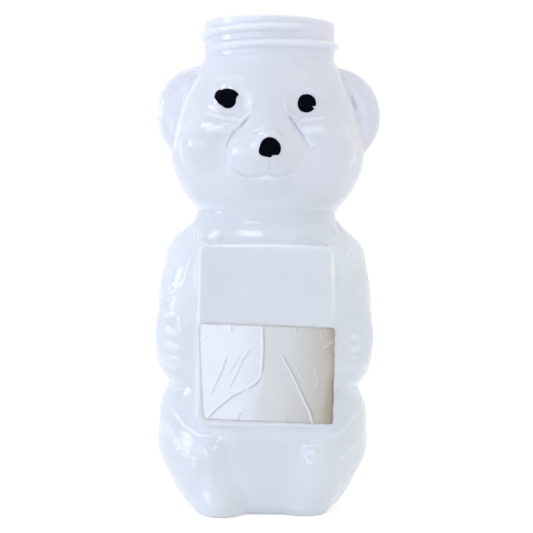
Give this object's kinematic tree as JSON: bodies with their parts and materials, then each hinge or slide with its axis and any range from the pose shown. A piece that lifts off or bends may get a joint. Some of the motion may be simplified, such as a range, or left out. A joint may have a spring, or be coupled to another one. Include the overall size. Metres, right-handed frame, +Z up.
{
  "type": "squeeze bottle",
  "caption": "Bear-shaped squeeze bottle, one thin blow-moulded shell with a threaded open neck, flat label panels and painted eyes and nose.",
  "frame": {"origin": "on the floor under the middle of the bottle, on the axis of the neck", "axes": "+Z up along the neck, the bear looks along -Y, its left hand is at +X"},
  "size_m": [0.061, 0.0562, 0.1303],
  "materials": {
    "shell": "translucent milky polyethylene, softly glossy",
    "paint": "thin black paint, a little glossy",
    "label_paper": "creased matt paper"
  },
  "bodies": {
    "root": {"bottle_shell": "shell", "left_eye_paint": "paint", "right_eye_paint": "paint", "nose_paint": "paint", "label": "label_paper"}
  },
  "joints": []
}
